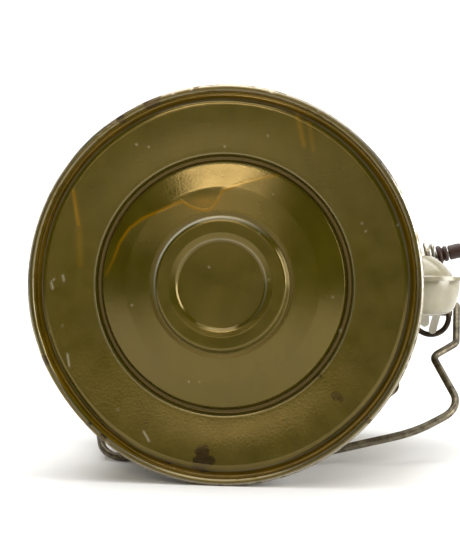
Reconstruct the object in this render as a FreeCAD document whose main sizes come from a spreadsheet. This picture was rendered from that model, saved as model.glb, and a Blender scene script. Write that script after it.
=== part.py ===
import FreeCAD, Part
import Sketcher
import math
import os
import re

# Round sheet-steel field canteen, lying on its side as it is laid down on a table.
# Frame: +Y runs along the canteen's axis from its base to its neck, +Z is up, and the
# origin is the centre of the flat middle disc of the base. All sizes are millimetres.

os.makedirs("parts", exist_ok=True)
doc = FreeCAD.newDocument("canteen")
sheet = doc.addObject("Spreadsheet::Sheet", "Sizes")

SIZES = (
    # vessel
    ("plate", 0.8),                 # thickness of the sheet steel
    ("rim_radius", 75.0),           # outside of both rolled rims
    ("wall_radius", 73.6),          # outside of the body tube where its ends flare into the rims
    ("waist_radius", 70.0),         # outside of the body tube between its flared ends
    ("flare_start", 7.0),           # where each flare leaves the rim, and how long it is
    ("flare_length", 7.0),
    ("rim_stand", 1.9),             # how far the rim stands out past the middle disc
    ("rim_height", 5.0),            # how far the rolled rim reaches along the wall
    ("shoulder_top", 157.0),        # outer end of the upper rolled rim
    ("bead_low", 30.0),             # places of the two stiffening beads
    ("bead_high", 62.0),
    ("bead_width", 6.0),
    ("bead_rise", 1.2),
    ("solder_gap", 0.08),           # film of solder between the wall and what is fixed to it
    ("drill_reach", 25.0),          # length of the tools that open holes through the wall
    # base pressing
    ("disc_radius", 17.0),          # flat middle disc
    ("boss_radius", 25.6),          # outside of the raised ring round it
    ("boss_rise", 1.2),
    ("panel_radius", 46.2),         # outside of the domed panel
    ("groove_radius", 48.0),        # middle of the stiffening groove
    ("groove_depth", 4.0),
    ("lip_radius", 69.6),           # bend where the end plate turns into its rim channel
    ("chuck_radius", 72.0),         # upright wall inside the rim
    # neck and its cap
    ("neck_radius", 22.5),
    ("neck_bore", 20.5),
    ("collar_foot", 178.0),         # where the dome of the shoulder turns up to the collar
    ("collar_top", 184.0),
    ("neck_top", 200.0),
    ("thread_rise", 0.9),
    ("thread_pitch", 4.0),
    ("cap_radius", 26.5),
    ("cap_bore", 24.3),
    ("cap_foot", 187.6),
    ("cap_top", 205.0),
    ("gasket_thick", 2.0),
    # side spout: two pans with a flange between them, a short nozzle and its cap
    ("pan_x", 72.0),
    ("pan_y", 100.0),
    ("pan_z", 2.1),
    ("pan_radius", 20.0),
    ("pan_flange", 22.6),
    ("pan_rise", 10.2),
    ("pan_depth", 16.6),
    ("feed_radius", 9.0),
    ("nozzle_x", 82.2),
    ("nozzle_radius", 4.8),
    ("nozzle_bore", 3.6),
    ("nozzle_foot", 112.0),
    ("nozzle_top", 140.0),
    ("spout_cap_radius", 6.2),
    ("spout_cap_bore", 5.2),
    ("spout_cap_foot", 130.0),
    ("spout_cap_top", 144.0),
    # vent screw through the wall
    ("vent_y", 146.0),
    ("vent_z", -5.8),               # where the screw's axis would cross the canteen's middle
    ("vent_angle", 13.0),
    ("vent_fit", 0.06),             # play of the screw in its socket
    ("vent_socket_radius", 3.4),
    ("vent_washer_radius", 5.2),
    ("vent_washer_offset", 2.4),    # the washer hangs eccentrically, most of it above the screw
    ("vent_socket_end", 79.5),
    ("vent_washer_end", 84.8),
    ("vent_stem_radius", 1.9),
    ("vent_disc_radius", 4.6),
    ("vent_knob_radius", 3.6),
    ("vent_knob_start", 90.8),
    ("vent_knob_end", 97.2),
    # bail and its ears
    ("ear_y", 130.0),
    ("ear_z", -10.0),
    ("ear_reach", 89.5),            # outer face of the ear from the canteen's axis
    ("ear_root", 50.0),             # where the ear's block starts, before the wall trims it
    ("ear_metal", 1.4),
    ("ear_foot_metal", 1.2),
    ("ear_foot_length", 10.0),
    ("ear_half_length", 5.1),
    ("ear_half_width", 5.4),
    ("bail_radius", 1.65),
    ("bail_hole", 1.72),
    ("bail_lean", 37.6),            # degrees below level at which the bail lies
    # strap clips, their rings and the belt loops
    ("clip_y", 121.9),              # axis of the fold, and of the ring's swing
    ("clip_x", 79.5),
    ("clip_z", -7.7),
    ("clip_start", 64.0),           # inner end of the folded strip, before the wall trims it
    ("clip_length", 21.5),
    ("clip_metal", 1.0),
    ("fold_radius", 1.7),           # inside of the fold, which the ring's wire turns in
    ("front_depth", 6.3),
    ("back_depth", 0.8),
    ("tongue_width", 4.0),          # tongue of the back leaf, riveted through the ring
    ("tongue_depth", 3.9),
    ("rivet_radius", 0.8),
    ("ring_radius", 8.2),
    ("ring_wire", 1.25),
    ("loop_y", 135.0),
    ("loop_angle", 51.0),
    ("loop_wire", 0.65),
    ("loop_reach", 82.0),
)
for row, (alias, value) in enumerate(SIZES, 1):
    sheet.set(f"A{row}", alias)
    sheet.set(f"B{row}", str(value))
    sheet.setAlias(f"B{row}", alias)
doc.recompute()
size = dict(SIZES)
WORD = re.compile(r"[a-z_]+")
X_AXIS = FreeCAD.Vector(1, 0, 0)
Y_AXIS = FreeCAD.Vector(0, 1, 0)
Z_AXIS = FreeCAD.Vector(0, 0, 1)


def bound(text):
    """Turn 'rim_radius - plate' into an expression on the sheet's cells."""
    def cell(match):
        word = match.group()
        return "Sizes." + word if word in size else word
    return WORD.sub(cell, str(text))


def number(text):
    """The value that such an expression has now."""
    return float(sheet.evalExpression(bound(text)))


def origin_plane(body, role):
    return next(item for item in body.Origin.OriginFeatures if item.Role == role)


def outline_sketch(body, role, outline):
    """Closed sketch through the outline's corners, each tied to the sheet. A corner is
    (across, up) or (across, up, bow), where bow bends the line that arrives there."""
    sketch = body.newObject("Sketcher::SketchObject", "Outline")
    sketch.AttachmentSupport = [(origin_plane(body, role), "")]
    sketch.MapMode = "FlatFace"
    corners = [FreeCAD.Vector(number(corner[0]), number(corner[1]), 0) for corner in outline]
    ends = []
    for index, corner in enumerate(outline):
        start = corners[index - 1]
        end = corners[index]
        if len(corner) == 3:
            chord = (end - start).normalize()
            side = FreeCAD.Vector(chord.y, -chord.x, 0)
            middle = (start + end) * 0.5 + side * number(corner[2])
            edge = sketch.addGeometry(Part.Arc(start, middle, end))
        else:
            edge = sketch.addGeometry(Part.LineSegment(start, end))
        forward = sketch.getPoint(edge, 1).distanceToPoint(start) < 1e-6
        ends.append((edge, 1, 2) if forward else (edge, 2, 1))
    for index, corner in enumerate(outline):
        edge, _, last = ends[index]
        after, first, _ = ends[(index + 1) % len(ends)]
        sketch.addConstraint(Sketcher.Constraint("Coincident", edge, last, after, first))
        for kind, axis, text in (("DistanceX", -2, corner[0]), ("DistanceY", -1, corner[1])):
            value = number(text)
            if abs(value) < 1e-9:
                sketch.addConstraint(Sketcher.Constraint("PointOnObject", edge, last, axis))
            else:
                rule = sketch.addConstraint(Sketcher.Constraint(kind, -1, 1, edge, last, value))
                sketch.setExpression(f"Constraints[{rule}]", bound(text))
    return sketch


def turned(label, outline, role="XY_Plane", place=None):
    """A piece turned about the upright axis of its outline: Y in XY_Plane, Z in XZ_Plane."""
    body = doc.addObject("PartDesign::Body", label)
    sketch = outline_sketch(body, role, outline)
    turn = body.newObject("PartDesign::Revolution", "Turn")
    turn.Profile = sketch
    turn.ReferenceAxis = (sketch, ["V_Axis"])
    turn.Angle = 360
    if place is not None:
        body.Placement = place
    return body


def primitive(kind, label, centre, rotation=None, **lengths):
    """A Part primitive whose lengths and place are expressions on the sheet."""
    solid = doc.addObject("Part::" + kind, label)
    if rotation is not None:
        solid.Placement = FreeCAD.Placement(FreeCAD.Vector(), rotation)
    for name, text in lengths.items():
        solid.setExpression(name, bound(text))
    for letter, text in zip("xyz", centre):
        solid.setExpression("Placement.Base." + letter, bound(text))
    return solid


def joined(label, *solids):
    fuse = doc.addObject("Part::MultiFuse", label)
    fuse.Shapes = list(solids)
    return fuse


def cut(label, base, *tools):
    tool = tools[0] if len(tools) == 1 else joined(label + "_tools", *tools)
    result = doc.addObject("Part::Cut", label)
    result.Base = base
    result.Tool = tool
    return result


ALONG_X = FreeCAD.Rotation(Z_AXIS, X_AXIS)
ALONG_Y = FreeCAD.Rotation(Z_AXIS, Y_AXIS)


def vessel_core(label):
    """Solid cylinder the size of the body tube, which trims what is soldered to it."""
    return primitive("Cylinder", label, ("0", "0", "0"), ALONG_Y,
                     Radius="waist_radius + solder_gap", Height="shoulder_top")


# Vessel: two pressed ends rolled over the ends of a body tube.
base_plate = turned("base_plate", (
    ("0", "0"),
    ("disc_radius", "0"),
    ("disc_radius + 1.6", "-boss_rise", "-0.2"),
    ("boss_radius - 2.6", "-boss_rise", "0.35"),
    ("boss_radius - 0.6", "0.2", "0.3"),
    ("boss_radius + 0.8", "0.2"),
    ("panel_radius", "1.6", "1.0"),
    ("groove_radius - 0.9", "groove_depth", "-0.2"),
    ("groove_radius + 0.9", "groove_depth", "-0.4"),
    ("groove_radius + 1.9", "2.0", "-0.2"),
    ("lip_radius", "0.6"),
    ("chuck_radius - 0.9", "1.9", "0.3"),
    ("chuck_radius", "1.7", "-0.2"),
    ("chuck_radius", "0.8 - rim_stand"),
    ("chuck_radius + 0.8", "-rim_stand", "0.25"),
    ("rim_radius - 0.9", "-rim_stand"),
    ("rim_radius", "0.9 - rim_stand", "0.25"),
    ("rim_radius", "rim_height - rim_stand"),
    ("wall_radius", "rim_height - rim_stand"),
    ("wall_radius", "plate - rim_stand"),
    ("wall_radius - plate", "plate - rim_stand"),
    ("wall_radius - plate", "2.6"),
    ("chuck_radius - 0.9", "2.8"),
    ("lip_radius", "0.6 + plate"),
    ("groove_radius + 1.9", "2.0 + plate"),
    ("groove_radius + 0.9", "groove_depth + plate"),
    ("groove_radius - 0.9", "groove_depth + plate"),
    ("panel_radius", "1.6 + plate"),
    ("boss_radius + 0.8", "0.2 + plate", "-1.0"),
    ("boss_radius - 0.6", "0.2 + plate"),
    ("boss_radius - 2.6", "plate - boss_rise"),
    ("disc_radius + 1.6", "plate - boss_rise"),
    ("disc_radius", "plate"),
    ("0", "plate"),
))

tube = turned("body_tube", (
    ("wall_radius", "plate - rim_stand"),
    ("wall_radius", "flare_start"),
    ("waist_radius", "flare_start + flare_length"),
    ("waist_radius", "bead_low - bead_width / 2"),
    ("waist_radius", "bead_low + bead_width / 2", "bead_rise"),
    ("waist_radius", "bead_high - bead_width / 2"),
    ("waist_radius", "bead_high + bead_width / 2", "bead_rise"),
    ("waist_radius", "shoulder_top - flare_start - flare_length"),
    ("wall_radius", "shoulder_top - flare_start"),
    ("wall_radius", "shoulder_top - plate"),
    ("wall_radius - plate", "shoulder_top - plate"),
    ("wall_radius - plate", "shoulder_top - flare_start"),
    ("waist_radius - plate", "shoulder_top - flare_start - flare_length"),
    ("waist_radius - plate", "bead_high + bead_width / 2"),
    ("waist_radius - plate", "bead_high - bead_width / 2", "-bead_rise"),
    ("waist_radius - plate", "bead_low + bead_width / 2"),
    ("waist_radius - plate", "bead_low - bead_width / 2", "-bead_rise"),
    ("waist_radius - plate", "flare_start + flare_length"),
    ("wall_radius - plate", "flare_start"),
    ("wall_radius - plate", "plate - rim_stand"),
))
feed_hole = primitive("Cylinder", "feed_hole", ("waist_radius - drill_reach / 2", "pan_y", "pan_z"),
                      ALONG_X, Radius="feed_radius", Height="drill_reach")
vent_direction = FreeCAD.Vector(math.cos(math.radians(size["vent_angle"])), 0,
                                math.sin(math.radians(size["vent_angle"])))
vent_turn = FreeCAD.Rotation(Z_AXIS, vent_direction)
vent_hole = primitive("Cylinder", "vent_hole", ("0", "vent_y", "vent_z"), vent_turn,
                      Radius="vent_socket_radius", Height="vent_knob_end")
body_wall = cut("body_wall", tube, feed_hole, vent_hole)

shoulder = turned("shoulder", (
    ("rim_radius", "shoulder_top - rim_height"),
    ("rim_radius", "shoulder_top - 0.9"),
    ("rim_radius - 0.9", "shoulder_top", "0.25"),
    ("chuck_radius + 0.8", "shoulder_top"),
    ("chuck_radius", "shoulder_top - 0.8", "0.25"),
    ("chuck_radius", "shoulder_top - 3.6"),
    ("chuck_radius - 1.2", "shoulder_top - 3.8"),
    ("neck_radius + 5", "collar_foot", "7"),
    ("neck_radius + plate", "collar_foot + 2.4", "-0.6"),
    ("neck_radius + plate", "collar_top"),
    ("neck_radius", "collar_top"),
    ("neck_radius", "collar_foot + 1.6"),
    ("neck_radius + 4.4", "collar_foot - plate", "0.6"),
    ("chuck_radius - 1.6", "shoulder_top - 3.8 - plate", "-7"),
    ("wall_radius - plate", "shoulder_top - 3.6 - plate"),
    ("wall_radius - plate", "shoulder_top - plate"),
    ("wall_radius", "shoulder_top - plate"),
    ("wall_radius", "shoulder_top - rim_height"),
))

# Filler neck with its screw thread, and the cap with the gasket it presses down.
neck = turned("filler_neck", (
    ("neck_bore", "collar_foot - 3"),
    ("neck_radius", "collar_foot - 3"),
    ("neck_radius", "collar_top"),
    ("neck_radius + 1.6", "collar_top"),
    ("neck_radius + 1.6", "collar_top + 1.6"),
    ("neck_radius", "collar_top + 1.6"),
    ("neck_radius", "neck_top - 0.6"),
    ("neck_radius - 0.6", "neck_top"),
    ("neck_bore + 0.6", "neck_top"),
    ("neck_bore", "neck_top - 0.6"),
))
thread_outline = outline_sketch(neck, "XY_Plane", (
    ("neck_radius - 0.3", "neck_top - 11.5"),
    ("neck_radius + thread_rise", "neck_top - 10.5"),
    ("neck_radius + thread_rise", "neck_top - 10"),
    ("neck_radius - 0.3", "neck_top - 9"),
))
thread = neck.newObject("PartDesign::AdditiveHelix", "Thread")
thread.Profile = thread_outline
thread.ReferenceAxis = (thread_outline, ["V_Axis"])
thread.Mode = "pitch-height-angle"
thread.setExpression("Pitch", bound("thread_pitch"))
thread.setExpression("Height", bound("thread_pitch * 1.9"))

cap_body = turned("filler_cap", (
    ("0", "cap_top"),
    ("cap_radius - 7", "cap_top"),
    ("cap_radius - 5.5", "cap_top - 0.9"),
    ("cap_radius - 4.5", "cap_top - 0.9"),
    ("cap_radius - 3.5", "cap_top"),
    ("cap_radius - 1.2", "cap_top"),
    ("cap_radius", "cap_top - 1.2", "0.3"),
    ("cap_radius", "cap_foot"),
    ("cap_bore", "cap_foot"),
    ("cap_bore", "neck_top + gasket_thick"),
    ("0", "neck_top + gasket_thick"),
))
scallop = cap_body.newObject("Sketcher::SketchObject", "Scallop")
scallop.AttachmentSupport = [(origin_plane(cap_body, "XZ_Plane"), "")]
scallop.MapMode = "FlatFace"
scallop.addGeometry(Part.Circle(FreeCAD.Vector(size["cap_radius"] + 1.9, 0, 0), Z_AXIS, 2.6))
scallop.addConstraint(Sketcher.Constraint("PointOnObject", 0, 3, -1))
reach = scallop.addConstraint(Sketcher.Constraint("DistanceX", -1, 1, 0, 3, size["cap_radius"] + 1.9))
scallop.setExpression(f"Constraints[{reach}]", bound("cap_radius + 1.9"))
flute = cap_body.newObject("PartDesign::Pocket", "Flute")
flute.Profile = scallop
flute.Type = "ThroughAll"
flute.Midplane = True
grips = cap_body.newObject("PartDesign::PolarPattern", "Grips")
grips.Originals = [flute]
grips.Axis = (scallop, ["N_Axis"])
grips.Angle = 360
grips.Occurrences = 24
cap_body.Tip = grips

filler_gasket = turned("filler_gasket", (
    ("0", "neck_top"),
    ("cap_bore - 0.4", "neck_top"),
    ("cap_bore - 0.4", "neck_top + gasket_thick"),
    ("0", "neck_top + gasket_thick"),
))

# Side spout: an upper and a lower pan meet at a flange, and a nozzle leaves them.
pan_place = FreeCAD.Placement(FreeCAD.Vector(size["pan_x"], size["pan_y"], size["pan_z"]),
                              FreeCAD.Rotation())
upper_pan = turned("upper_pan", (
    ("0", "pan_rise"),
    ("pan_radius - 12.5", "pan_rise"),
    ("pan_radius - 3", "1.4", "-0.9"),
    ("pan_radius", "plate", "0.4"),
    ("pan_flange", "plate"),
    ("pan_flange", "0"),
    ("pan_radius - 1", "0"),
    ("pan_radius - 3.8", "1.0", "-0.3"),
    ("pan_radius - 12.9", "pan_rise - plate", "0.9"),
    ("0", "pan_rise - plate"),
), "XZ_Plane", pan_place)
lower_pan = turned("lower_pan", (
    ("0", "-pan_depth"),
    ("0", "plate - pan_depth"),
    ("pan_radius - 7", "plate * 2 - pan_depth", "0.3"),
    ("pan_radius - 3.2", "4.4 - pan_depth", "0.7"),
    ("pan_radius - 1", "0", "0.7"),
    ("pan_flange", "0"),
    ("pan_flange", "-plate"),
    ("pan_radius", "-plate"),
    ("pan_radius - 2.3", "4.2 - pan_depth", "-0.7"),
    ("pan_radius - 6.4", "plate - pan_depth", "-0.7"),
), "XZ_Plane", pan_place)
nozzle_way = primitive("Cylinder", "nozzle_way", ("nozzle_x", "nozzle_foot", "pan_z"), ALONG_Y,
                       Radius="nozzle_radius", Height="12")
spout_upper = cut("spout_upper_half", upper_pan, vessel_core("core_upper"), nozzle_way)
nozzle_way_low = primitive("Cylinder", "nozzle_way_low", ("nozzle_x", "nozzle_foot", "pan_z"),
                           ALONG_Y, Radius="nozzle_radius", Height="12")
spout_lower = cut("spout_lower_half", lower_pan, vessel_core("core_lower"), nozzle_way_low)

nozzle_place = FreeCAD.Placement(FreeCAD.Vector(size["nozzle_x"], 0, size["pan_z"]),
                                 FreeCAD.Rotation())
spout_nozzle = turned("spout_nozzle", (
    ("nozzle_bore", "nozzle_foot + 2"),
    ("nozzle_radius", "nozzle_foot + 2"),
    ("nozzle_radius", "spout_cap_foot - 3"),
    ("nozzle_radius + 0.9", "spout_cap_foot - 3"),
    ("nozzle_radius + 0.9", "spout_cap_foot - 1.5"),
    ("nozzle_radius", "spout_cap_foot - 1.5"),
    ("nozzle_radius", "nozzle_top"),
    ("nozzle_bore", "nozzle_top"),
), "XY_Plane", nozzle_place)
spout_cap = turned("spout_cap", (
    ("0", "spout_cap_top"),
    ("spout_cap_radius - 0.8", "spout_cap_top"),
    ("spout_cap_radius", "spout_cap_top - 0.8", "0.2"),
    ("spout_cap_radius", "spout_cap_foot"),
    ("spout_cap_bore", "spout_cap_foot"),
    ("spout_cap_bore", "nozzle_top + 1.4"),
    ("0", "nozzle_top + 1.4"),
), "XY_Plane", nozzle_place)
spout_gasket = turned("spout_gasket", (
    ("0", "nozzle_top"),
    ("spout_cap_bore - 0.2", "nozzle_top"),
    ("spout_cap_bore - 0.2", "nozzle_top + 1.4"),
    ("0", "nozzle_top + 1.4"),
), "XY_Plane", nozzle_place)

# Vent screw: its pieces are turned along Y and then laid along the vent's radius.
vent_place = FreeCAD.Placement(FreeCAD.Vector(0, size["vent_y"], size["vent_z"]),
                               FreeCAD.Rotation(Y_AXIS, vent_direction))
vent_socket = turned("vent_socket", (
    ("vent_stem_radius + vent_fit", "waist_radius"),
    ("vent_socket_radius", "waist_radius"),
    ("vent_socket_radius", "vent_socket_end"),
    ("vent_stem_radius + vent_fit", "vent_socket_end"),
), "XY_Plane", vent_place)
washer_shift = FreeCAD.Vector(-vent_direction.z, 0, vent_direction.x) * size["vent_washer_offset"]
washer_place = FreeCAD.Placement(vent_place.Base + washer_shift, vent_place.Rotation)
washer_blank = turned("washer_blank", (
    ("0", "vent_socket_end"),
    ("vent_washer_radius - 1.2", "vent_socket_end"),
    ("vent_washer_radius", "vent_socket_end + 1.2", "0.35"),
    ("vent_washer_radius", "vent_socket_end + 2.1"),
    ("vent_washer_radius - 1", "vent_socket_end + 3.3", "0.3"),
    ("vent_washer_radius - 1.8", "vent_socket_end + 3.6"),
    ("vent_washer_radius - 1", "vent_socket_end + 4.3", "0.1"),
    ("vent_washer_radius - 1.6", "vent_washer_end", "0.15"),
    ("0", "vent_washer_end"),
), "XY_Plane", washer_place)
washer_bore = primitive("Cylinder", "washer_bore", ("0", "vent_y", "vent_z"), vent_turn,
                        Radius="vent_stem_radius + vent_fit", Height="vent_knob_end")
vent_washer = cut("vent_washer", washer_blank, washer_bore)
vent_screw = turned("vent_screw", (
    ("0", "waist_radius - 4"),
    ("vent_stem_radius - 1.1", "waist_radius - 4"),
    ("vent_stem_radius", "waist_radius - 2"),
    ("vent_stem_radius", "vent_knob_start"),
    ("0", "vent_knob_start"),
), "XY_Plane", vent_place)
vent_discs = turned("vent_check_discs", (
    ("vent_stem_radius + vent_fit", "vent_washer_end + 0.4"),
    ("vent_disc_radius - 0.8", "vent_washer_end + 0.4"),
    ("vent_disc_radius", "vent_washer_end + 1.4", "0.25"),
    ("vent_disc_radius - 0.6", "vent_washer_end + 2.6", "0.25"),
    ("vent_stem_radius + 1.2", "vent_washer_end + 3.1"),
    ("vent_disc_radius - 1.4", "vent_washer_end + 3.5"),
    ("vent_disc_radius - 0.8", "vent_washer_end + 4.3", "0.2"),
    ("vent_disc_radius - 1.4", "vent_washer_end + 5.6", "0.25"),
    ("vent_stem_radius + vent_fit", "vent_washer_end + 5.6"),
), "XY_Plane", vent_place)
vent_knob = turned("vent_knob", (
    ("0", "vent_knob_start"),
    ("vent_knob_radius - 0.5", "vent_knob_start"),
    ("vent_knob_radius", "vent_knob_start + 0.5"),
    ("vent_knob_radius", "vent_knob_end - 0.8"),
    ("vent_knob_radius - 0.8", "vent_knob_end", "0.2"),
    ("0", "vent_knob_end"),
), "XY_Plane", vent_place)


# Bail ears: a hat-shaped bracket on each side, with a curved foot soldered to the wall.
def bail_ear(side):
    word = "right" if side > 0 else "left"
    name = "ear_" + word
    low_x = "ear_root" if side > 0 else "-ear_reach"
    block = primitive("Box", name + "_block", (low_x, "ear_y - ear_half_length", "ear_z - ear_half_width"),
                      Length="ear_reach - ear_root", Width="ear_half_length * 2",
                      Height="ear_half_width * 2")
    inner_x = "ear_root" if side > 0 else "ear_metal - ear_reach"
    hollow = primitive("Box", name + "_hollow",
                       (inner_x, "ear_y - ear_half_length + ear_metal", "ear_z - ear_half_width - 1"),
                       Length="ear_reach - ear_root - ear_metal", Width="(ear_half_length - ear_metal) * 2",
                       Height="ear_half_width * 2 + 2")
    pivot_x = "ear_reach - drill_reach / 2" if side > 0 else "-ear_reach - drill_reach / 2"
    pivot = primitive("Cylinder", name + "_pivot", (pivot_x, "ear_y", "ear_z"), ALONG_X,
                      Radius="bail_hole", Height="drill_reach")
    hat = cut(name + "_hat", block, hollow, pivot, vessel_core(name + "_core"))
    skin = primitive("Cylinder", name + "_skin", ("0", "ear_y + ear_half_length - ear_metal", "0"), ALONG_Y,
                     Radius="waist_radius + ear_foot_metal", Height="ear_foot_length - ear_foot_metal")
    foot_skin = cut(name + "_foot_skin", skin, vessel_core(name + "_foot_core"))
    foot_x = "ear_root" if side > 0 else "-ear_reach"
    window = primitive("Box", name + "_window", (foot_x, "ear_y", "ear_z - ear_half_width"),
                       Length="ear_reach - ear_root", Width="ear_foot_length * 2",
                       Height="ear_half_width * 2")
    foot = doc.addObject("Part::MultiCommon", name + "_foot")
    foot.Shapes = [foot_skin, window]
    return joined(name, hat, foot)


ear_right = bail_ear(1)
ear_left = bail_ear(-1)


def tangent_path(points, radii):
    """Straight runs joined by tangent arcs; radii gives one radius for each inner corner."""
    edges = []
    start = points[0]
    for before, corner, after, radius in zip(points, points[1:], points[2:], radii):
        back = (before - corner).normalize()
        ahead = (after - corner).normalize()
        half = back.getAngle(ahead) / 2
        trim = radius / math.tan(half)
        first = corner + back * trim
        last = corner + ahead * trim
        middle_way = (back + ahead).normalize()
        middle = corner + middle_way * (radius / math.sin(half) - radius)
        edges.append(Part.LineSegment(start, first).toShape())
        edges.append(Part.Arc(first, middle, last).toShape())
        start = last
    edges.append(Part.LineSegment(start, points[-1]).toShape())
    return Part.Wire(edges)


def wire_solid(path, radius):
    """Round wire swept along a path."""
    first = path.OrderedEdges[0]
    start = first.valueAt(first.FirstParameter)
    along = first.tangentAt(first.FirstParameter)
    ring = Part.Wire([Part.Circle(start, along, radius).toShape()])
    return path.makePipeShell([ring], True, False)


# Bail: one steel wire in one plane. Each corner is (across, reach from the ear line, bend
# radius); the right leg is kinked inwards and the left corner is pulled in and lies lowest.
BAIL_CORNERS = (
    (-86.0, 0.0, 0.0),
    (-91.8, 0.0, 2.2),
    (-90.6, 28.2, 5.0),
    (-80.0, 37.6, 4.5),
    (-58.5, 103.6, 12.0),
    (18.4, 103.6, 60.0),
    (72.0, 85.2, 55.0),
    (91.5, 70.0, 13.0),
    (80.0, 37.6, 4.5),
    (90.6, 28.2, 5.0),
    (91.8, 0.0, 2.2),
    (86.0, 0.0, 0.0),
)
lean = math.radians(size["bail_lean"])
bail_points = [FreeCAD.Vector(across,
                              size["ear_y"] - reach_out * math.cos(lean),
                              size["ear_z"] - reach_out * math.sin(lean))
               for across, reach_out, _ in BAIL_CORNERS]
bail_bends = [bend for _, _, bend in BAIL_CORNERS[1:-1]]
bail_wire = wire_solid(tangent_path(bail_points, bail_bends), size["bail_radius"])
HEAD_LENGTH = 1.2
HEAD_REACH = 86.6
heads = [Part.makeCylinder(size["bail_radius"] + 0.9, HEAD_LENGTH,
                           FreeCAD.Vector(place, size["ear_y"], size["ear_z"]), X_AXIS)
         for place in (-HEAD_REACH, HEAD_REACH - HEAD_LENGTH)]
bail = doc.addObject("Part::Feature", "bail")
bail.Shape = bail_wire.multiFuse(heads)


# Strap clips: a strip folded over the strap ring's wire and soldered to the wall behind the
# spout. Its front leaf ends in two fingers and its back leaf in a tongue riveted through the
# ring. The left clip is the right one's mirror image. Each finger is (radius, root across,
# root up, tip across, tip up), measured from the fold's axis at the ring's middle.
FINGERS = (
    (2.1, -2.9, -3.0, -2.9, -10.6),
    (1.8, 3.2, -5.0, 0.7, -14.2),
)


def strap_clip(side):
    word = "right" if side > 0 else "left"
    metal = size["clip_metal"]
    start = size["clip_start"]
    length = size["clip_length"]
    across = size["clip_x"]
    axis_z = size["clip_z"]
    front = size["clip_y"] - size["fold_radius"] - metal
    back = size["clip_y"] + size["fold_radius"]
    fold_foot = FreeCAD.Vector(start, size["clip_y"], axis_z)
    fold = Part.makeCylinder(size["fold_radius"] + metal, length, fold_foot, X_AXIS)
    fold = fold.cut(Part.makeCylinder(size["fold_radius"], length, fold_foot, X_AXIS))
    below = Part.makeBox(length, back + metal - front, size["ring_radius"],
                         FreeCAD.Vector(start, front, axis_z - size["ring_radius"]))
    fold = fold.cut(below)
    leaves = []
    for place, depth in ((front, size["front_depth"]), (back, size["back_depth"])):
        leaves.append(Part.makeBox(length, metal, depth, FreeCAD.Vector(start, place, axis_z - depth)))
    tongue_foot = FreeCAD.Vector(across - size["tongue_width"] / 2, back, axis_z - size["tongue_depth"])
    leaves.append(Part.makeBox(size["tongue_width"], metal, size["tongue_depth"], tongue_foot))
    rivet_z = axis_z - size["tongue_depth"] + size["rivet_radius"] + metal / 2
    leaves.append(Part.makeCylinder(size["rivet_radius"], back - front,
                                    FreeCAD.Vector(across, front + metal / 2, rivet_z), Y_AXIS))
    for radius, root_x, root_z, tip_x, tip_z in FINGERS:
        root = FreeCAD.Vector(across + root_x, front, axis_z + root_z)
        tip = FreeCAD.Vector(across + tip_x, front, axis_z + tip_z)
        beside = (tip - root).cross(Y_AXIS).normalize() * radius
        edge = Part.makePolygon([root - beside, root + beside, tip + beside, tip - beside, root - beside])
        leaves.append(Part.Face(edge).extrude(Y_AXIS * metal))
        leaves.append(Part.makeCylinder(radius, metal, tip, Y_AXIS))
    clip = fold.multiFuse(leaves).removeSplitter()
    core = Part.makeCylinder(size["waist_radius"] + size["solder_gap"], size["shoulder_top"],
                             FreeCAD.Vector(), Y_AXIS)
    clip = clip.cut(core)
    if side < 0:
        clip = clip.mirror(FreeCAD.Vector(), X_AXIS)
    piece = doc.addObject("Part::Feature", "strap_clip_" + word)
    piece.Shape = clip
    return piece


def strap_ring(side):
    word = "right" if side > 0 else "left"
    across = "clip_x" if side > 0 else "-clip_x"
    return primitive("Torus", "strap_ring_" + word, (across, "clip_y", "clip_z - ring_radius"), ALONG_Y,
                     Radius1="ring_radius", Radius2="ring_wire")


clips = [strap_clip(side) for side in (1, -1)]
rings = [strap_ring(side) for side in (1, -1)]


# Belt loops: a thin wire bow standing off the wall low on each side, both feet soldered on.
def belt_loop(side):
    word = "right" if side > 0 else "left"
    middle = math.radians(size["loop_angle"])
    foot_spread = math.radians(17)
    crest_spread = math.radians(14)
    points = []
    foot_radius = size["waist_radius"] + size["solder_gap"] * 2
    crest_radius = size["loop_reach"] + 0.8
    for turn_angle, radius in ((-foot_spread, foot_radius), (-crest_spread, crest_radius),
                               (crest_spread, crest_radius), (foot_spread, foot_radius)):
        angle = middle + turn_angle
        points.append(FreeCAD.Vector(side * radius * math.cos(angle), size["loop_y"],
                                     -radius * math.sin(angle)))
    piece = doc.addObject("Part::Feature", "belt_loop_" + word)
    piece.Shape = wire_solid(tangent_path(points, (5.0, 5.0)), size["loop_wire"])
    return piece


loops = [belt_loop(side) for side in (1, -1)]

doc.recompute()
subparts = [base_plate, body_wall, shoulder, neck, cap_body, filler_gasket, spout_upper,
            spout_lower, spout_nozzle, spout_cap, spout_gasket, vent_socket, vent_washer,
            vent_screw, vent_discs, vent_knob, ear_right, ear_left, bail] + clips + rings + loops
for item in doc.Objects:
    if "Invalid" in item.State or "Error" in item.State:
        raise RuntimeError(f"{item.Label} failed: {item.State}")
for piece in subparts:
    if piece.Shape.isNull() or not piece.Shape.isValid():
        raise RuntimeError(f"{piece.Label} has no valid shape")
for piece in subparts:
    piece.Shape.exportStep(f"parts/{piece.Label}.step")
    print(f"{piece.Label:20s} {len(piece.Shape.Solids)} solid(s) {piece.Shape.Volume:10.1f} mm3")
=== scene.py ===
import bmesh
import bpy
import math
import numpy as np
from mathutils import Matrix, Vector, noise


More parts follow.
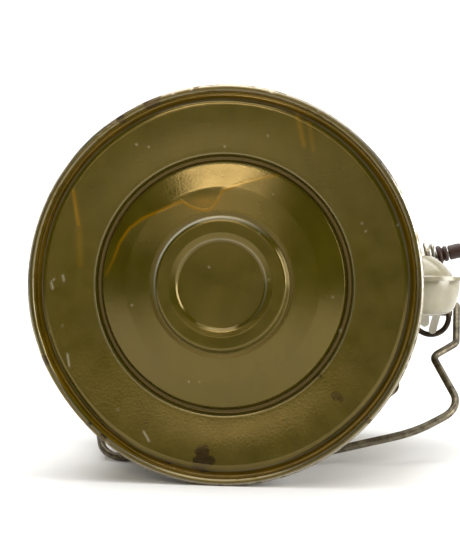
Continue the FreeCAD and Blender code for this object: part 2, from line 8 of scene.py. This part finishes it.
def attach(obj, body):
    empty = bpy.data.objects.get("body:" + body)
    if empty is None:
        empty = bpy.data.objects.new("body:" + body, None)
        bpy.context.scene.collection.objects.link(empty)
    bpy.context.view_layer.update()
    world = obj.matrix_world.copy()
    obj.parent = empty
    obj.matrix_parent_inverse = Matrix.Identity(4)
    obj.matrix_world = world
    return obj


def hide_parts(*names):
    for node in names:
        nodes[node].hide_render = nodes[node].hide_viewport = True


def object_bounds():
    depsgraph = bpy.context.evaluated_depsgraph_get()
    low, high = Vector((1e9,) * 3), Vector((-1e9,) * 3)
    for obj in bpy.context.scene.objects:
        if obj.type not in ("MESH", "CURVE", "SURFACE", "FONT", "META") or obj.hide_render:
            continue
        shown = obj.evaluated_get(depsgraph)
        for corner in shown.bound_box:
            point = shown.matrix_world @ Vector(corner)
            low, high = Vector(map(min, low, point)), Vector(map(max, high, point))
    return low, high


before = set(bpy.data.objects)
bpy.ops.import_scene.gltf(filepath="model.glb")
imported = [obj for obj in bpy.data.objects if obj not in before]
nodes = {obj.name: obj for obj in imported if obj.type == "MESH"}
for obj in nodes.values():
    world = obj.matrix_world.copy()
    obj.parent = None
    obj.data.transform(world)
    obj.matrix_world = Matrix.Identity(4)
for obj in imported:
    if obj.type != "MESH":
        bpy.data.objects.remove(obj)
cad_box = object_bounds()
MM = 0.001

# --- Camera, floor and lights -----------------------------------------------------------
# The canteen lies on a white sweep and is seen almost square on to its base, a little
# from the spout's side, with a long lens.
VIEW_YAW = math.radians(9.0)
FLOOR_Z = cad_box[0][2]

camera_data = bpy.data.cameras.new("camera")
camera_data.sensor_width = 36.0
camera_data.lens = 74.1
camera_data.clip_start = 0.01
camera = bpy.data.objects.new("camera", camera_data)
camera.location = (0.06984, -0.41924, 0.00336)
camera.rotation_euler = (math.radians(90.0), 0.0, VIEW_YAW)
bpy.context.scene.collection.objects.link(camera)
bpy.context.scene.camera = camera
bpy.context.scene.view_settings.view_transform = "Standard"


def linear(hex_colour, alpha=1.0):
    """sRGB hex to the linear colour that shaders take."""
    parts = [int(hex_colour[i:i + 2], 16) / 255.0 for i in (1, 3, 5)]
    return tuple(p / 12.92 if p <= 0.04045 else ((p + 0.055) / 1.055) ** 2.4 for p in parts) + (alpha,)


def add(tree, kind, inputs=None, **settings):
    """Adds a shader node. inputs maps a socket to a value or to another node's output."""
    made = tree.nodes.new(kind)
    for name, value in settings.items():
        setattr(made, name, value)
    for socket, value in (inputs or {}).items():
        if isinstance(value, bpy.types.NodeSocket):
            tree.links.new(value, made.inputs[socket])
        else:
            made.inputs[socket].default_value = value
    return made


def new_material(name):
    material = bpy.data.materials.new(name)
    material.use_nodes = True
    material.node_tree.nodes.clear()
    return material, material.node_tree


def mesh_object(name, vertices, faces, smooth=True):
    mesh = bpy.data.meshes.new(name)
    mesh.from_pydata([tuple(v) for v in vertices], [], faces)
    mesh.validate()
    mesh.update()
    if smooth:
        mesh.shade_smooth()
    made = bpy.data.objects.new(name, mesh)
    bpy.context.scene.collection.objects.link(made)
    return made


# The sweep: paper-white card, flat under the canteen and curving up behind it.
sweep_material, tree = new_material("white_card")
card = add(tree, "ShaderNodeBsdfPrincipled", {"Base Color": linear("#F4F4F3"), "Roughness": 0.75})
add(tree, "ShaderNodeOutputMaterial", {"Surface": card.outputs["BSDF"]})
sweep_path = [(-1.2, FLOOR_Z)]
BEND_START = 0.9
BEND_RADIUS = 0.6
for step in range(17):
    angle = math.radians(90.0 * step / 16)
    sweep_path.append((BEND_START + BEND_RADIUS * math.sin(angle),
                       FLOOR_Z + BEND_RADIUS * (1.0 - math.cos(angle))))
sweep_path.append((BEND_START + BEND_RADIUS, FLOOR_Z + 2.4))
sweep_points = [(side * 2.2, along, up) for along, up in sweep_path for side in (-1, 1)]
sweep_faces = [(2 * i, 2 * i + 1, 2 * i + 3, 2 * i + 2) for i in range(len(sweep_path) - 1)]
sweep = mesh_object("sweep", sweep_points, sweep_faces)
sweep.data.materials.append(sweep_material)


def soft_box(name, place, target, size_x, size_y, power, colour="#FFFFFF"):
    data = bpy.data.lights.new(name, "AREA")
    data.shape = "RECTANGLE"
    data.size = size_x
    data.size_y = size_y
    data.energy = power
    data.color = linear(colour)[:3]
    light = bpy.data.objects.new(name, data)
    light.location = place
    light.rotation_euler = (Vector(target) - Vector(place)).to_track_quat("-Z", "Y").to_euler()
    bpy.context.scene.collection.objects.link(light)
    return light


soft_box("front_box", (-0.12, -0.66, 0.345), (0.0, 0.0, 0.03), 0.26, 0.16, 1.4, "#FFF3DC")
soft_box("front_low_box", (-0.14, -0.85, 0.12), (0.0, 0.0, 0.0), 0.3, 0.1, 0.3, "#FFF3DC")
soft_box("front_floor_box", (-0.25, -0.5, 1.3), (-0.15, -0.5, 0.0), 1.5, 0.9, 15.0)
soft_box("overhead_box", (0.1, 0.35, 1.25), (0.0, 0.15, 0.0), 1.5, 1.1, 12.0)
soft_box("back_box", (0.0, 0.75, 1.3), (0.0, 1.5, 0.35), 2.4, 0.6, 16.0)
soft_box("left_box", (-1.3, 0.4, 0.45), (0.0, 0.1, 0.0), 0.7, 0.7, 2.5)
soft_box("right_box", (1.2, -0.1, 0.35), (0.08, 0.1, 0.0), 0.7, 0.8, 18.0)
world = bpy.data.worlds.new("studio")
world.use_nodes = True
world.node_tree.nodes["Background"].inputs["Color"].default_value = linear("#8A8A88")
world.node_tree.nodes["Background"].inputs["Strength"].default_value = 0.01
bpy.context.scene.world = world


# --- Base pressing ----------------------------------------------------------------------
# Deep-drawn sheet steel, rolled over the body tube in a rim. Pressed rings stiffen it, and
# years of being set down have dented the rim, worn it bare and stained the enamel.
def rounded(outline, step):
    """Points every step or closer along (across, along, bend radius) corners, in mm."""
    corners = [Vector((c[0], c[1])) for c in outline]
    points = [corners[0]]
    for before, corner, after, (_, _, radius) in zip(corners, corners[1:], corners[2:], outline[1:-1]):
        back = (before - corner).normalized()
        ahead = (after - corner).normalized()
        half = math.acos(max(-1.0, min(1.0, back.dot(ahead)))) / 2
        trim = radius / max(math.tan(half), 0.05)
        trim = min(trim, 0.48 * (before - corner).length, 0.48 * (after - corner).length)
        first = corner + back * trim
        last = corner + ahead * trim
        for i in range(9):
            share = i / 8
            middle = corner * (2 * share * (1 - share))
            points.append(first * (1 - share) ** 2 + middle + last * share ** 2)
    points.append(corners[-1])
    fine = [points[0]]
    for point in points[1:]:
        gap = (point - fine[-1]).length
        if gap < 0.12:
            continue
        count = max(1, math.ceil(gap / step))
        start = fine[-1].copy()
        fine += [start.lerp(point, (i + 1) / count) for i in range(count)]
    return fine


def lathe(name, outline, segments, shape=None):
    """Closed piece turned about the Y axis from an outline of (radius, along) points. shape
    may move the points: it takes and returns arrays of radius, along and angle."""
    radius = np.array([p[0] for p in outline])
    along = np.array([p[1] for p in outline])
    turn = np.arange(segments) * (2 * math.pi / segments)
    radius_all, turn_all = np.meshgrid(radius, turn, indexing="ij")
    along_all = np.meshgrid(along, turn, indexing="ij")[0]
    if shape:
        radius_all, along_all = shape(radius_all, along_all, turn_all)
    points = np.stack((radius_all * np.cos(turn_all), along_all, radius_all * np.sin(turn_all)), -1)
    rings = len(outline)
    vertices = (points.reshape(-1, 3) * MM).tolist()
    closed = radius[0] > 1e-6
    faces = []
    for ring in range(rings if closed else rings - 1):
        low = ring * segments
        high = ((ring + 1) % rings) * segments
        for s in range(segments):
            t = (s + 1) % segments
            faces.append((low + s, high + s, high + t, low + t))
    made = mesh_object(name, vertices, faces)
    if not closed:
        work = bmesh_from(made)
        bmesh.ops.remove_doubles(work, verts=work.verts, dist=1e-6)
        bmesh_to(work, made)
    return made


def bmesh_from(piece):
    work = bmesh.new()
    work.from_mesh(piece.data)
    return work


def bmesh_to(work, piece):
    bmesh.ops.recalc_face_normals(work, faces=work.faces)
    work.to_mesh(piece.data)
    work.free()
    piece.data.shade_smooth()


def bump(x, centre, width):
    """Smooth hump of height 1 at centre, gone at width to each side."""
    share = np.clip(np.abs(x - centre) / width, 0, 1)
    return (1 - share ** 2) ** 2


def ramp(x, low, high):
    share = np.clip((x - low) / (high - low), 0, 1)
    return share * share * (3 - 2 * share)


def field(points, scale, seed):
    """Smooth random value at each point, with lumps about scale across."""
    shift = Vector((seed * 3.7, seed * 1.3, seed * 5.1))
    return np.array([noise.noise(Vector(p) / scale + shift) for p in points])


def rim_dents(radius, along, turn):
    """The set-down side of the rim is beaten flat, with a nick at each end of the flat."""
    degrees = np.degrees(turn)
    flat = 0.55 * bump(degrees, 221.0, 24.0) + 0.2 * bump(degrees, 198.0, 5.0)
    flat += 0.2 * bump(degrees, 237.0, 6.0) + 0.12 * bump(degrees, 121.0, 9.0)
    flat += 0.1 * bump(degrees, 143.0, 6.0) + 0.05 * (1 + np.sin(np.radians(degrees * 7 + 40)))
    radius = radius - flat * ramp(radius, 55.0, 74.0)
    lip = 0.55 * np.sin(np.radians(degrees * 3 + 20)) + 0.35 * np.sin(np.radians(degrees * 8))
    radius = radius + 0.5 * lip * bump(radius, 69.6, 2.6)
    swell = 0.10 * np.sin(np.radians(degrees * 2 + 70)) * bump(radius, 60.0, 9.0)
    swell += 0.07 * np.sin(np.radians(degrees * 3)) * bump(radius, 37.0, 8.0)
    return radius, along + swell


BASE_FACE = (
    (0.0, 0.0, 0.0),
    (16.3, 0.0, 0.5),
    (17.3, -0.95, 0.7),
    (19.6, -1.35, 2.0),
    (24.3, -1.5, 1.0),
    (25.8, 0.3, 0.45),
    (27.4, 0.0, 1.4),
    (37.0, 0.85, 12.0),
    (46.0, 2.6, 0.6),
    (47.2, 4.5, 0.6),
    (48.5, 4.5, 0.6),
    (49.4, 2.5, 0.5),
    (51.0, 2.3, 1.2),
    (68.9, -0.15, 4.0),
    (71.1, 1.9, 1.0),
    (72.1, 1.9, 0.4),
    (72.5, -1.3, 0.5),
    (73.2, -1.9, 0.5),
    (74.2, -1.9, 0.6),
    (75.0, -1.0, 0.6),
    (75.0, 3.1, 0.2),
)
BASE_BACK = (
    (75.0, 3.1, 0.0),
    (73.7, 3.1, 0.1),
    (73.6, 3.6, 0.1),
    (72.6, 3.6, 0.3),
    (70.2, 3.1, 0.5),
    (69.0, 1.4, 1.0),
    (51.0, 2.9, 1.0),
    (49.8, 5.4, 0.5),
    (46.0, 5.4, 0.5),
    (45.0, 3.2, 1.0),
    (27.4, 0.9, 1.0),
    (0.0, 0.9, 0.0),
)
FACE_STEP = 0.5
BACK_STEP = 4.0
BASE_SEGMENTS = 640
base_outline = rounded(BASE_FACE, FACE_STEP)
base_outline += rounded(BASE_BACK, BACK_STEP)[1:]
base_plate = lathe("base_pressing", base_outline, BASE_SEGMENTS, rim_dents)


def distance_to_line(x, z, line):
    best = np.full(x.shape, 1e9)
    for (x0, z0), (x1, z1) in zip(line, line[1:]):
        dx, dz = x1 - x0, z1 - z0
        share = np.clip(((x - x0) * dx + (z - z0) * dz) / (dx * dx + dz * dz), 0, 1)
        best = np.minimum(best, np.hypot(x - x0 - share * dx, z - z0 - share * dz))
    return best


def paint_attribute(piece, name, values):
    """Keeps one number for each vertex, which the enamel's shader reads."""
    layer = piece.data.attributes.new(name, "FLOAT", "POINT")
    layer.data.foreach_set("value", np.clip(values, 0, 1).astype(np.float32))


# Where the enamel is varnished, stained, chipped or worn bare, and where shade and highlights are
# painted in.
# Angles are in degrees, counted from the spout's side towards the top, and lengths in mm from the base's
# middle.
co = np.array([v.co for v in base_plate.data.vertices]) / MM
x, y, z = co.T
r = np.hypot(x, z)
degrees = np.degrees(np.arctan2(z, x)) % 360
grain = field(co, 2.2, 1)
coarse = field(co, 9.0, 2)

# Edge of an old varnish run, in mm across and up from the middle of the base.
VARNISH_EDGE = (
    (-44.8, 4.0), (-41.6, 10.5), (-39.5, 16.0), (-35.5, 21.6), (-30.0, 25.4), (-23.0, 28.2),
    (-15.2, 31.6), (-11.0, 29.2), (-7.0, 28.1), (-4.4, 28.2), (-2.4, 30.0), (0.6, 35.4),
    (4.0, 36.7), (8.5, 38.5), (16.0, 40.2), (21.0, 40.9),
)
edge = distance_to_line(x, z, VARNISH_EDGE)
fade = ramp(x, -46.0, -36.0) * (1 - 0.75 * ramp(x, 9.0, 23.0))
amber = np.exp(-(edge / 0.55) ** 2) * (0.35 + 0.65 * fade)
pocket = np.exp(-((x + 6.0) / 5.5) ** 2 - ((z - 31.0) / 2.2) ** 2)
amber = np.maximum(amber, 0.5 * pocket)
for start, end, width, strength in (
        ((-57.2, 35.8), (-55.4, 23.0), 0.7, 0.8),
        ((-55.4, 23.0), (-54.8, 8.0), 1.2, 0.3),
        ((28.6, 63.5), (31.0, 52.0), 0.9, 0.45),
        ((33.0, 60.0), (34.5, 50.0), 0.8, 0.3)):
    streak = distance_to_line(x, z, (start, end))
    amber = np.maximum(amber, strength * np.exp(-(streak / width) ** 2))
channel = ramp(r, 69.9, 70.6) * (1 - ramp(r, 72.2, 72.7)) * (y > -1.2)
amber = np.maximum(amber, 0.4 * channel * (0.75 + 0.5 * coarse))
paint_attribute(base_plate, "amber", amber)

# Below its edge the varnish has perished to a duller film.
edge_x, edge_z = np.array(VARNISH_EDGE).T
dull = ramp(np.interp(x, edge_x, edge_z) - z, -0.3, 0.9) * ramp(z, 8.0, 20.0) * ramp(r, 27.0, 29.0)
dull *= ramp(x, -44.0, -36.0) * (1 - ramp(x, 8.0, 32.0))
dull = np.maximum(dull, 0.7 * pocket) * (1 - amber)
paint_attribute(base_plate, "dull", dull)

# Painted shade: the bottom of the pressed groove and the valley ring by the boss are darkened in colour
# and made rougher.
groove_shade = bump(r, 47.7, 1.9) * ramp(y, 2.6, 4.2)
groove_shade = np.maximum(groove_shade, 0.55 * bump(r, 26.6, 0.9))
paint_attribute(base_plate, "groove_shade", groove_shade)

# Rust stains: place across and up, half-width, half-height, strength.
STAINS = (
    (-6.6, -62.6, 2.9, 2.6, 1.0), (-7.4, -67.0, 3.8, 3.6, 1.0), (-4.4, -65.6, 2.4, 2.4, 0.9),
    (-20.4, -67.0, 1.2, 1.3, 1.0), (36.4, -33.4, 1.4, 1.3, 0.8), (43.0, -40.8, 2.2, 1.8, 0.75),
    (44.6, -42.2, 1.0, 1.2, 0.6), (-9.4, 42.6, 1.0, 0.45, 0.8), (-4.9, 43.1, 0.8, 0.6, 0.6),
    (-0.7, 42.5, 0.6, 0.9, 0.8), (0.4, 40.9, 0.7, 0.5, 0.6), (-17.7, 35.4, 0.8, 0.6, 0.7),
    (8.2, 44.7, 1.7, 0.35, 0.6), (-29.0, -52.0, 0.7, 0.6, 0.4), (13.5, -12.0, 0.6, 0.5, 0.4),
    (9.0, -29.0, 0.7, 0.5, 0.4), (-15.0, -21.0, 0.9, 0.4, 0.5),
)
stain = np.zeros(len(co))
for x0, z0, wide, tall, strength in STAINS:
    lump = np.exp(-((x - x0) / wide) ** 2 - ((z - z0) / tall) ** 2)
    stain = np.maximum(stain, strength * ramp(lump + 0.35 * grain, 0.42, 0.62))
paint_attribute(base_plate, "stain", stain * (y < 3.0))

# Chips along the rim. Dark ones: angle, half-width, inner radius. Bright ones: angle, half-width.
DARK_CHIPS = (
    (110.5, 4.2, 72.2), (121.2, 1.6, 72.2), (97.0, 1.2, 73.0), (203.0, 2.5, 72.6),
    (232.0, 2.0, 72.4), (226.5, 1.4, 72.4), (318.0, 1.2, 73.0),
)
BRIGHT_CHIPS = (
    (123.4, 0.9), (125.6, 0.6), (129.0, 0.7), (113.0, 0.6), (104.0, 1.2), (98.5, 0.8),
    (75.0, 1.8), (234.0, 1.0), (60.0, 0.6),
)
crest = (ramp(r, 73.6, 74.4) + 0.4 * bump(r, 72.7, 0.4)) * (y < 0.6)
patchy = 0.5 + 0.5 * grain + 0.4 * coarse + 0.25 * bump(y, -1.9, 0.5)
wear = np.clip(crest, 0, 1) * ramp(patchy, 0.05, 0.5)
dark_chip = np.zeros(len(co))
for centre, half, inner in DARK_CHIPS:
    window = bump(degrees, centre, half) * ramp(r, inner - 0.5, inner + 0.2) * (y < 1.5)
    dark_chip = np.maximum(dark_chip, ramp(window + 0.4 * grain, 0.3, 0.5))
# Painted highlight: a pale line along the lip's rounded edge, put into the bare-metal mask.
lip_highlight = 0.2 * bump(r, 69.7, 0.5) * (y < 2.0)
bright_chip = np.zeros(len(co))
for centre, half in BRIGHT_CHIPS:
    bright_chip = np.maximum(bright_chip, bump(degrees, centre, half) * ramp(r, 73.2, 73.8) * (y < 1.0))
# The bare-metal mask carries the worn crest, the bright chips and the painted lip highlight.
worn_and_lip_highlight = np.maximum(np.maximum(wear * 0.9, bright_chip), lip_highlight)
paint_attribute(base_plate, "bare_and_lip_highlight", worn_and_lip_highlight * (1 - dark_chip))
grime = 0.35 * bump(r, 73.5, 0.9) * (y < 0.6) * ramp(0.4 + grain + coarse, 0.0, 0.6)
paint_attribute(base_plate, "chip", np.maximum(dark_chip, grime))

SCRATCHES = (
    ((-59.6, -26.5), (-58.8, -31.0)), ((-66.0, 1.0), (-65.4, -1.5)),
    ((-61.6, 3.6), (-61.2, 1.6)), ((-29.8, -55.5), (-27.6, -59.0)),
)
specks_and_highlights = np.zeros(len(co))
random_numbers = np.random.default_rng(7)
for _ in range(26):
    place = random_numbers.uniform(-70, 70, 2)
    size_mm = random_numbers.uniform(0.3, 0.45)
    gap = np.hypot(x - place[0], z - place[1])
    specks_and_highlights = np.maximum(specks_and_highlights, random_numbers.uniform(0.15, 0.5) * np.exp(-(gap / size_mm) ** 2))
for scratch in SCRATCHES:
    gap = distance_to_line(x, z, scratch)
    specks_and_highlights = np.maximum(specks_and_highlights, 0.4 * np.exp(-(gap / 0.35) ** 2))
# Painted highlights: pale lines on the top and left of the boss ring, on the top and right of the centre
# disc's edge, and all round the groove's outer lip. They share the pale-speck mask.
edge_highlights = 1.1 * bump(r, 25.4, 0.75) * bump(degrees, 122.0, 85.0)
edge_highlights = np.maximum(edge_highlights, 0.3 * bump(r, 17.1, 0.5) * bump((degrees + 180) % 360, 240.0, 130.0))
edge_highlights = np.maximum(edge_highlights, 0.12 * bump(r, 49.6, 0.5))
paint_attribute(base_plate, "specks_and_highlights", np.maximum(specks_and_highlights * (r < 72), edge_highlights))


def enamel(name, deep, light, sheen, roughness, streaks):
    """Stoving enamel over steel: a semi-gloss film with faint broad brush marks, with painted shade in
    the pressed grooves, painted highlights on ring edges, and old varnish, rust, pale specks, chips and
    bare steel where the piece's masks say."""
    material, tree = new_material(name)
    place = add(tree, "ShaderNodeTexCoord").outputs["Object"]
    clouds = add(tree, "ShaderNodeTexNoise", {"Vector": place, "Scale": 1 / 0.022, "Detail": 4.0,
                                              "Roughness": 0.6})
    brushed = add(tree, "ShaderNodeMapping", {"Vector": place,
                                              "Scale": (1 / 0.006, 1 / 0.004, 1 / 0.014)})
    brush = add(tree, "ShaderNodeTexNoise", {"Vector": brushed.outputs[0], "Scale": 1.0, "Detail": 2.0})
    tone = add(tree, "ShaderNodeMath", {0: brush.outputs["Fac"], 1: 0.4, 2: clouds.outputs["Fac"]},
               operation="MULTIPLY_ADD")
    tone_span = add(tree, "ShaderNodeMapRange", {"Value": tone.outputs[0], "From Min": 0.45,
                                                 "From Max": 0.95})
    colour = add(tree, "ShaderNodeMix", {0: tone_span.outputs[0], 6: linear(deep), 7: linear(light)},
                 data_type="RGBA").outputs[2]
    masks = {mask: add(tree, "ShaderNodeAttribute", attribute_name=mask).outputs["Fac"]
             for mask in ("amber", "groove_shade", "stain", "bare_and_lip_highlight", "chip", "specks_and_highlights", "dull")}
    # The darkest colour below is painted shade in the grooves, and the pale speck colour also paints
    # highlights along ring edges.
    for mask, hex_colour, share in (("groove_shade", "#1D1200", 0.7), ("amber", "#7A5600", 0.9),
                                    ("specks_and_highlights", "#C6C2AE", 0.85), ("stain", "#1C140B", 0.9),
                                    ("bare_and_lip_highlight", "#A29C8F", 1.0), ("chip", "#2A231D", 0.95)):
        amount = add(tree, "ShaderNodeMath", {0: masks[mask], 1: share}, operation="MULTIPLY")
        colour = add(tree, "ShaderNodeMix", {0: amount.outputs[0], 6: colour, 7: linear(hex_colour)},
                     data_type="RGBA").outputs[2]
    smudge = add(tree, "ShaderNodeTexNoise", {"Vector": place, "Scale": 1 / 0.009, "Detail": 5.0,
                                              "Roughness": 0.65})
    gloss = add(tree, "ShaderNodeMapRange", {"Value": smudge.outputs["Fac"], "From Min": 0.3,
                                             "From Max": 0.75, "To Min": roughness - 0.03,
                                             "To Max": roughness + 0.05})
    rough = gloss.outputs[0]
    for mask, change in (("stain", -0.04), ("dull", 0.13), ("groove_shade", 0.3), ("bare_and_lip_highlight", 0.12),
                         ("amber", -0.02)):
        rough = add(tree, "ShaderNodeMath", {0: masks[mask], 1: change, 2: rough},
                    operation="MULTIPLY_ADD").outputs[0]
    peel = add(tree, "ShaderNodeTexNoise", {"Vector": place, "Scale": 1 / 0.0009, "Detail": 2.0})
    swell = add(tree, "ShaderNodeTexNoise", {"Vector": place, "Scale": 1 / 0.012, "Detail": 1.0})
    bump_fine = add(tree, "ShaderNodeBump", {"Height": peel.outputs["Fac"], "Strength": 0.10,
                                             "Distance": 0.00025})
    bump_brush = add(tree, "ShaderNodeBump", {"Height": brush.outputs["Fac"], "Strength": 0.06 * streaks,
                                              "Distance": 0.0004, "Normal": bump_fine.outputs[0]})
    bump_swell = add(tree, "ShaderNodeBump", {"Height": swell.outputs["Fac"], "Strength": 0.03,
                                              "Distance": 0.001, "Normal": bump_brush.outputs[0]})
    film = add(tree, "ShaderNodeBump", {"Height": masks["amber"], "Strength": 0.08, "Distance": 0.0004,
                                        "Normal": bump_swell.outputs[0]})
    paint = add(tree, "ShaderNodeBsdfPrincipled", {
        "Base Color": colour, "Roughness": rough, "Metallic": masks["bare_and_lip_highlight"],
        "Normal": film.outputs[0], "IOR": 1.75, "Specular Tint": linear(sheen)})
    add(tree, "ShaderNodeOutputMaterial", {"Surface": paint.outputs["BSDF"]})
    return material


base_enamel = enamel("olive_enamel_on_base", "#352F04", "#403906", "#FFE09C", 0.175, 0.35)
base_plate.data.materials.append(base_enamel)
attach(base_plate, "vessel")
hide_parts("base_plate")


def finish_node(name, material):
    """Gives a carried-over CAD piece its real finish."""
    piece = nodes[name]
    piece.data.materials.clear()
    piece.data.materials.append(material)
    return piece


# --- Body tube and shoulder -------------------------------------------------------------
# Rolled sheet with flared ends and two stiffening beads, in the same enamel as the base.
wall_enamel = enamel("olive_enamel_on_wall", "#3A310A", "#483D14", "#FFE3B4", 0.25, 0.8)
for name in ("body_wall", "shoulder"):
    finish_node(name, wall_enamel)

# --- Fittings ---------------------------------------------------------------------------
# Pressed and folded pieces soldered on, in olive enamel whose colour is painted pale to stand in for
# glare.
fitting_enamel_with_glare = enamel("olive_enamel_painted_pale_as_glare_on_fittings", "#79725A", "#98917A", "#FFFBF2", 0.2, 0.3)
for name in ("spout_upper_half", "spout_lower_half", "ear_right", "ear_left"):
    finish_node(name, fitting_enamel_with_glare)
# Painted glare: the clips' colour is near white to stand in for the lights' glare on olive enamel.
clip_enamel_with_glare = enamel("enamel_painted_near_white_as_glare_on_clips", "#A8A28F", "#CCC7B8", "#FFFFFF", 0.3, 0.3)
for name in ("strap_clip_right", "strap_clip_left"):
    finish_node(name, clip_enamel_with_glare)


def worn_steel(name, dark, light, roughness, metal):
    """Drawn steel gone dull: bare high spots between brown oxide."""
    material, tree = new_material(name)
    place = add(tree, "ShaderNodeTexCoord").outputs["Object"]
    oxide = add(tree, "ShaderNodeTexNoise", {"Vector": place, "Scale": 1 / 0.004, "Detail": 6.0,
                                             "Roughness": 0.7})
    span = add(tree, "ShaderNodeMapRange", {"Value": oxide.outputs["Fac"], "From Min": 0.35,
                                            "From Max": 0.65})
    colour = add(tree, "ShaderNodeMix", {0: span.outputs[0], 6: linear(dark), 7: linear(light)},
                 data_type="RGBA")
    gloss = add(tree, "ShaderNodeMapRange", {"Value": oxide.outputs["Fac"], "To Min": roughness + 0.12,
                                             "To Max": roughness - 0.08})
    pit = add(tree, "ShaderNodeTexNoise", {"Vector": place, "Scale": 1 / 0.0007, "Detail": 3.0})
    pitted = add(tree, "ShaderNodeBump", {"Height": pit.outputs["Fac"], "Strength": 0.25,
                                          "Distance": 0.0002})
    steel = add(tree, "ShaderNodeBsdfPrincipled", {
        "Base Color": colour.outputs[2], "Roughness": gloss.outputs[0], "Metallic": metal,
        "Normal": pitted.outputs[0]})
    add(tree, "ShaderNodeOutputMaterial", {"Surface": steel.outputs["BSDF"]})
    return material


wire_steel = worn_steel("oxidised_steel_wire", "#362D1E", "#7F7660", 0.34, 0.65)
for name in ("bail", "belt_loop_right", "belt_loop_left"):
    finish_node(name, wire_steel)
black_steel = worn_steel("blackened_steel", "#1A1714", "#4A3B2C", 0.42, 0.7)
for name in ("strap_ring_right", "strap_ring_left"):
    finish_node(name, black_steel)
bright_steel = worn_steel("tinned_steel", "#8E897E", "#C2BDB0", 0.32, 0.9)
for name in ("filler_neck", "spout_nozzle", "vent_socket", "vent_washer", "vent_screw"):
    finish_node(name, bright_steel)


def moulded(name, dark, light, roughness):
    """Compression-moulded phenolic: dense, faintly mottled, rubbed smooth by hands."""
    material, tree = new_material(name)
    place = add(tree, "ShaderNodeTexCoord").outputs["Object"]
    mottle = add(tree, "ShaderNodeTexNoise", {"Vector": place, "Scale": 1 / 0.003, "Detail": 6.0})
    colour = add(tree, "ShaderNodeMix", {0: mottle.outputs["Fac"], 6: linear(dark), 7: linear(light)},
                 data_type="RGBA")
    gloss = add(tree, "ShaderNodeMapRange", {"Value": mottle.outputs["Fac"], "To Min": roughness - 0.06,
                                             "To Max": roughness + 0.12})
    grit = add(tree, "ShaderNodeTexNoise", {"Vector": place, "Scale": 1 / 0.0005, "Detail": 2.0})
    rough = add(tree, "ShaderNodeBump", {"Height": grit.outputs["Fac"], "Strength": 0.15,
                                         "Distance": 0.0001})
    resin = add(tree, "ShaderNodeBsdfPrincipled", {
        "Base Color": colour.outputs[2], "Roughness": gloss.outputs[0], "Normal": rough.outputs[0],
        "IOR": 1.4})
    add(tree, "ShaderNodeOutputMaterial", {"Surface": resin.outputs["BSDF"]})
    return material


brown_resin = moulded("brown_phenolic", "#1E0D05", "#3B2011", 0.42)
for name in ("vent_knob", "vent_check_discs"):
    finish_node(name, brown_resin)
black_resin = moulded("black_phenolic", "#141311", "#2A2825", 0.38)
for name in ("filler_cap", "spout_cap"):
    finish_node(name, black_resin)
seal_rubber = moulded("seal_rubber", "#1B1916", "#35302A", 0.7)
for name in ("filler_gasket", "spout_gasket"):
    finish_node(name, seal_rubber)
